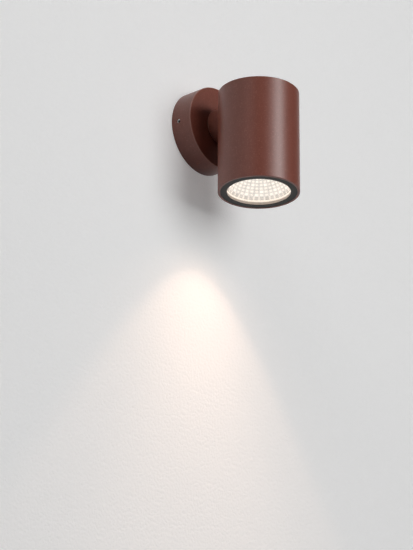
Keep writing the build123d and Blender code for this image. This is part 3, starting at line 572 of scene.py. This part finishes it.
# The gasket's glow is painted light, for the lamp's light scattered into its pale lip
pale_silicone = finish_material(
    "pale_silicone", rubber_bloom,
    {"Colour": (0.56, 0.47, 0.41), "Bloom Colour": (0.66, 0.58, 0.52),
     "Bloom": 0.5, "Roughness": 0.42},
    bump_depth=0.00002,
    plain={"Emission Color": (1.0, 0.86, 0.74), "Emission Strength": 0.16},
)
core_colours = striped_insulation(
    "core_colours", "Z", [(-CORE_BORDER, CORE_BROWN), (CORE_BORDER, CORE_GREEN)], CORE_BLUE)
wire_colours = striped_insulation(
    "wire_colours", "Y", [(-HEAD_REACH - WIRE_BORDER, WIRE_BLACK)], WIRE_RED)
clear_glass = make_clear_glass()
phosphor = make_phosphor()
reflector_bright = make_reflector_bright()

FINISHES = {
    rust_coat: ["base_shell", "neck", "head_housing"],
    bezel_coat: ["bezel"],
    bracket_zinc: ["wall_bracket"],
    plated_steel: ["spindle", "swivel_nut", "head_nut", "stop_washer", "spring_washer", "stop_pin",
                   "saddle_washer"],
    grub_steel: ["grub_screws"],
    stainless: ["neck_screws", "heat_sink_screws", "holder_screws", "driver_screws",
                "terminal_screws", "terminal_fixing_screw"],
    earth_brass: ["earth_screw"],
    black_rubber: ["wall_gasket", "cable_grommet", "neck_seal"],
    cable_sheath: ["base_lead", "head_lead"],
    pale_silicone: ["lens_gasket"],
    acetal: ["swivel_bush", "friction_washer"],
    white_plastic: ["terminal_block", "led_holder"],
    sink_aluminium: ["heat_sink", "led_board"],
    phosphor: ["led_emitter"],
    reflector_bright: ["reflector"],
    clear_glass: ["front_glass"],
    driver_case: ["led_driver"],
    core_colours: ["lead_cores"],
    wire_colours: ["led_wires"],
}
for material, names in FINISHES.items():
    for name in names:
        nodes[name].data.materials.clear()
        nodes[name].data.materials.append(material)


# Reflector with pillowed facets

def cup_radius(drop):
    """Inside radius of the paraboloid at a drop below the throat."""
    curve = (MOUTH_RADIUS**2 - THROAT_RADIUS**2) / FACETED_HEIGHT
    return sqrt(THROAT_RADIUS**2 + curve * drop)


def round_point(radius, turn, level):
    """A point at a radius from the cup's axis, at a share of a whole turn."""
    angle = 2 * pi * turn
    return Vector((radius * cos(angle), radius * sin(angle), level))


def fall_off(value, start, end):
    """Smooth step from 0 at start to 1 at end."""
    t = min(max((value - start) / (end - start), 0.0), 1.0)
    return t * t * (3 - 2 * t)


def painted_facet_glow(row, column, across, down):
    """Painted glow at a place on a facet, for the lamp's reflected light; across and down go from
    -1 to 1 over the facet.
    """
    twinkle = sum(amount * sin(by_row * row + by_column * column)
                  for amount, by_row, by_column in TWINKLES)
    if row == FACET_ROWS - 1:
        sides = fall_off(abs(across), SIDE_START, SIDE_END)
        return LAST_ROW_SHADE + twinkle + LAST_ROW_SIDES * sides
    joint = fall_off(max(abs(across), abs(down)), JOINT_START, JOINT_END)
    middle = exp(-((across / MIDDLE_WIDTH) ** 2) - (down / MIDDLE_HEIGHT) ** 2)
    return FACET_SHADE + twinkle + MIDDLE_HIGHLIGHT * middle - JOINT_SHADE * joint


def make_reflector():
    """The faceted cup with its lip, flange and back, closed all round."""
    around = FACET_COLUMNS * FACET_STEPS
    last_facet_level = FACET_ROWS * FACET_STEPS
    drops = [FACETED_HEIGHT * (row / FACET_ROWS) ** FACET_GROWTH for row in range(FACET_ROWS + 1)]
    points, shades = [], []

    def corner(row, column):
        return round_point(cup_radius(drops[row]), column / FACET_COLUMNS,
                           REFLECTOR_TOP - drops[row])

    for step_down in range(last_facet_level + 1):
        row = min(step_down // FACET_STEPS, FACET_ROWS - 1)
        v = (step_down - row * FACET_STEPS) / FACET_STEPS
        bulge = FACET_PILLOW * min(row + PILLOW_FIRST, PILLOW_WHOLE) / PILLOW_WHOLE
        for step_round in range(around):
            column, part = divmod(step_round, FACET_STEPS)
            u = part / FACET_STEPS
            upper = corner(row, column).lerp(corner(row, column + 1), u)
            lower = corner(row + 1, column).lerp(corner(row + 1, column + 1), u)
            flat = upper.lerp(lower, v)
            across, down = 2 * u - 1, 2 * v - 1
            inward = Vector((-flat.x, -flat.y, -flat.length * PILLOW_DROOP)).normalized()
            points.append(flat + inward * (bulge * (1 - across**2) * (1 - down**2)))
            shades.append(painted_facet_glow(row, column, across, down))

    flange_top = REFLECTOR_BOTTOM + FLANGE_THICKNESS
    rings = [
        (MOUTH_RADIUS, REFLECTOR_BOTTOM + LIP_HEIGHT - LIP_BREAK, LIP_SHADE),
        (MOUTH_RADIUS, REFLECTOR_BOTTOM, LIP_SHADE),
        (FLANGE_RADIUS, REFLECTOR_BOTTOM, FLANGE_SHADE),
        (FLANGE_RADIUS, flange_top, BACK_SHADE),
        (MOUTH_RADIUS + CUP_WALL, flange_top, BACK_SHADE),
    ]
    rings += [(cup_radius(drop) + CUP_WALL, REFLECTOR_TOP - drop, BACK_SHADE)
              for drop in reversed(drops[:-1])]
    for radius, level, shade in rings:
        points += [round_point(radius, step / around, level) for step in range(around)]
        shades += [shade] * around

    faces = []
    for first in range(0, len(points), around):
        second = (first + around) % len(points)
        for step in range(around):
            after = (step + 1) % around
            faces.append((first + step, second + step, second + after, first + after))
    middle = Vector((0, -HEAD_REACH, 0))
    mesh = bpy.data.meshes.new("reflector_cup")
    mesh.from_pydata([(point + middle) * MM for point in points], [], faces)
    mesh.update()
    mesh.shade_smooth()
    for edge in mesh.edges:
        first, second = edge.vertices
        level, step = divmod(first, around)
        runs_round = level == second // around
        if max(first, second) // around > last_facet_level:
            edge.use_edge_sharp = runs_round
        else:
            edge.use_edge_sharp = (level if runs_round else step) % FACET_STEPS == 0
    layer = mesh.attributes.new("painted_facet_glow", "FLOAT", "POINT")
    layer.data.foreach_set("value", shades)
    mesh.materials.append(reflector_bright)
    cup = bpy.data.objects.new("reflector_cup", mesh)
    scene.collection.objects.link(cup)
    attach(cup, "head")
    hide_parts("reflector")


make_reflector()


# Wall and floor

def seen_part(tree, direct, mirrored):
    """One value where a thing is seen directly, another in metal and glass, none in its light."""
    ray = add(tree, "ShaderNodeLightPath").outputs
    in_gloss = math_node(tree, "MAXIMUM", ray["Is Glossy Ray"], ray["Is Transmission Ray"])
    return math_node(tree, "ADD", math_node(tree, "MULTIPLY", in_gloss, mirrored),
                     math_node(tree, "MULTIPLY", ray["Is Camera Ray"], direct))


def pale_paint(name, tone, glow, shown):
    """Plain pale paint on fine plaster, which glows a little, and more where it is seen.

    Its back lets the view through.
    """
    material, tree, shader = bare_material(name)
    feed_all(tree, shader, {
        "Base Color": (tone, tone, tone), "Roughness": 0.9, "Specular IOR Level": 0.1,
        "Emission Color": WHITE,
        "Emission Strength": math_node(tree, "ADD", seen_part(tree, shown, shown), glow),
    })
    plaster = noise(tree, object_place(tree), PLASTER_SCALE, detail=3.0, roughness=0.55)
    relief(tree, shader, plaster, PLASTER_DEPTH, PLASTER_STRENGTH)
    see_through = add(tree, "ShaderNodeBsdfTransparent")
    back = add(tree, "ShaderNodeNewGeometry").outputs["Backfacing"]
    mixer = add(tree, "ShaderNodeMixShader")
    for socket, source in zip(mixer.inputs, (back, shader.outputs[0], see_through.outputs[0])):
        link(tree, source, socket)
    link(tree, mixer.outputs[0], node_of(tree, "OUTPUT_MATERIAL").inputs["Surface"])
    return material


def make_wall():
    """Wall round a hole that the base covers, so that the back of the light can be seen and lit."""
    hole, border, faces = [], [], []
    for step in range(WALL_STEPS):
        angle = 2 * pi * step / WALL_STEPS
        across, up = cos(angle), sin(angle)
        hole.append((WALL_HOLE * across, WALL_GAP, WALL_HOLE * up))
        stretch = WALL_REACH / max(abs(across), abs(up))
        border.append((stretch * across, WALL_GAP, max(stretch * up, FLOOR_LEVEL)))
        after = (step + 1) % WALL_STEPS
        faces.append((step, WALL_STEPS + step, WALL_STEPS + after, after))
    mesh = bpy.data.meshes.new("wall")
    mesh.from_pydata(hole + border, [], faces)
    mesh.update()
    return mesh


def make_floor():
    """Level floor far below the light."""
    corners = [(-1, -1), (1, -1), (1, 1), (-1, 1)]
    points = [(x * FLOOR_REACH, y * FLOOR_REACH, FLOOR_LEVEL) for x, y in corners]
    mesh = bpy.data.meshes.new("floor")
    mesh.from_pydata(points, [], [(0, 1, 2, 3)])
    mesh.update()
    return mesh


stage_pieces = bpy.data.collections.new("stage_pieces")
for mesh, paint in ((make_wall(), WALL_PAINT), (make_floor(), FLOOR_PAINT)):
    mesh.materials.append(pale_paint(mesh.name + "_paint", *paint))
    piece = bpy.data.objects.new(mesh.name, mesh)
    scene.collection.objects.link(piece)
    stage_pieces.objects.link(piece)


# Lamps, room and camera

def soft_lamp(name, side, rise, width, height, watts):
    """Soft lamp that isn't itself seen, in degrees right of the wall's normal and above level."""
    lamp = bpy.data.lights.new(name, "AREA")
    lamp.shape = "ELLIPSE"
    lamp.size = width
    lamp.size_y = height
    lamp.energy = watts
    across, up = radians(side), radians(rise)
    place = LAMP_FAR * Vector((sin(across) * cos(up), -cos(across) * cos(up), sin(up)))
    holder = bpy.data.objects.new(name, lamp)
    holder.location = place
    holder.rotation_euler = (Vector(LAMP_AIM) - place).to_track_quat("-Z", "Y").to_euler()
    holder.visible_camera = False
    scene.collection.objects.link(holder)
    return holder


def light_object_only(holder):
    """Keeps a lamp's light off the wall and the floor."""
    beside_stage = bpy.data.collections.new("beside_stage")
    for piece in stage_pieces.objects:
        beside_stage.objects.link(piece)
    for entry in beside_stage.collection_objects:
        entry.light_linking.link_state = "EXCLUDE"
    holder.light_linking.receiver_collection = beside_stage


def make_beam(name, watts, spread_angle, blend, level, even):
    """Part of the light's own warm beam on wall and floor, which turns with the head.

    An even one falls off more gently than a bare lamp does.
    """
    lamp = bpy.data.lights.new(name, "SPOT")
    lamp.energy = watts
    lamp.color = BEAM_COLOUR
    lamp.spot_size = radians(spread_angle)
    lamp.spot_blend = blend
    lamp.shadow_soft_size = BEAM_SOURCE
    if even:
        lamp.use_nodes = True
        tree = lamp.node_tree
        reach = add(tree, "ShaderNodeLightFalloff")
        reach.inputs["Strength"].default_value = EVEN_STRENGTH
        link(tree, reach.outputs["Linear"], node_of(tree, "EMISSION").inputs["Strength"])
    holder = bpy.data.objects.new(name, lamp)
    holder.location = (0.0, -HEAD_REACH * MM, level)
    scene.collection.objects.link(holder)
    holder.light_linking.receiver_collection = stage_pieces
    holder.light_linking.blocker_collection = stage_pieces
    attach(holder, "head")


def make_world():
    """Dim room with a glow high on the left; seen directly it is a plain pale backdrop."""
    world = bpy.data.worlds.new("studio")
    scene.world = world
    world.use_nodes = True
    tree = world.node_tree
    facing = add(tree, "ShaderNodeVectorMath", operation="DOT_PRODUCT")
    link(tree, add(tree, "ShaderNodeTexCoord").outputs["Generated"], facing.inputs[0])
    facing.inputs[1].default_value = Vector(WINDOW_TOWARDS).normalized()
    light = spread(tree, facing.outputs["Value"], WINDOW_START, WINDOW_MIDDLE,
                   ROOM_LIGHT, WINDOW_GLOW)
    shown = seen_part(tree, BACKGROUND, ROOM_IN_GLOSS)
    feed_all(tree, node_of(tree, "BACKGROUND"),
             {"Color": WHITE, "Strength": math_node(tree, "ADD", light, shown)})


def make_camera():
    """Camera at the photograph's viewing angle."""
    optics = bpy.data.cameras.new("camera")
    optics.sensor_width = SENSOR_WIDTH
    optics.lens = CAMERA_LENS
    camera = bpy.data.objects.new("camera", optics)
    camera.location = CAMERA_PLACE
    camera.rotation_euler = CAMERA_TURN
    scene.collection.objects.link(camera)
    scene.camera = camera


soft_lamp("key_light", side=1.5, rise=7, width=1.65, height=1.6, watts=23.6)
high_light = soft_lamp("high_light", side=8.5, rise=22, width=0.76, height=0.64, watts=9.0)
light_object_only(high_light)
make_beam("beam_middle", watts=1.27, spread_angle=56.2, blend=1.0, level=-0.0127, even=True)
make_beam("beam_edge", watts=0.79, spread_angle=73.1, blend=0.313, level=-0.0372, even=True)
make_beam("beam_spill", watts=0.28, spread_angle=122, blend=1.0, level=-0.076, even=False)
make_world()
make_camera()
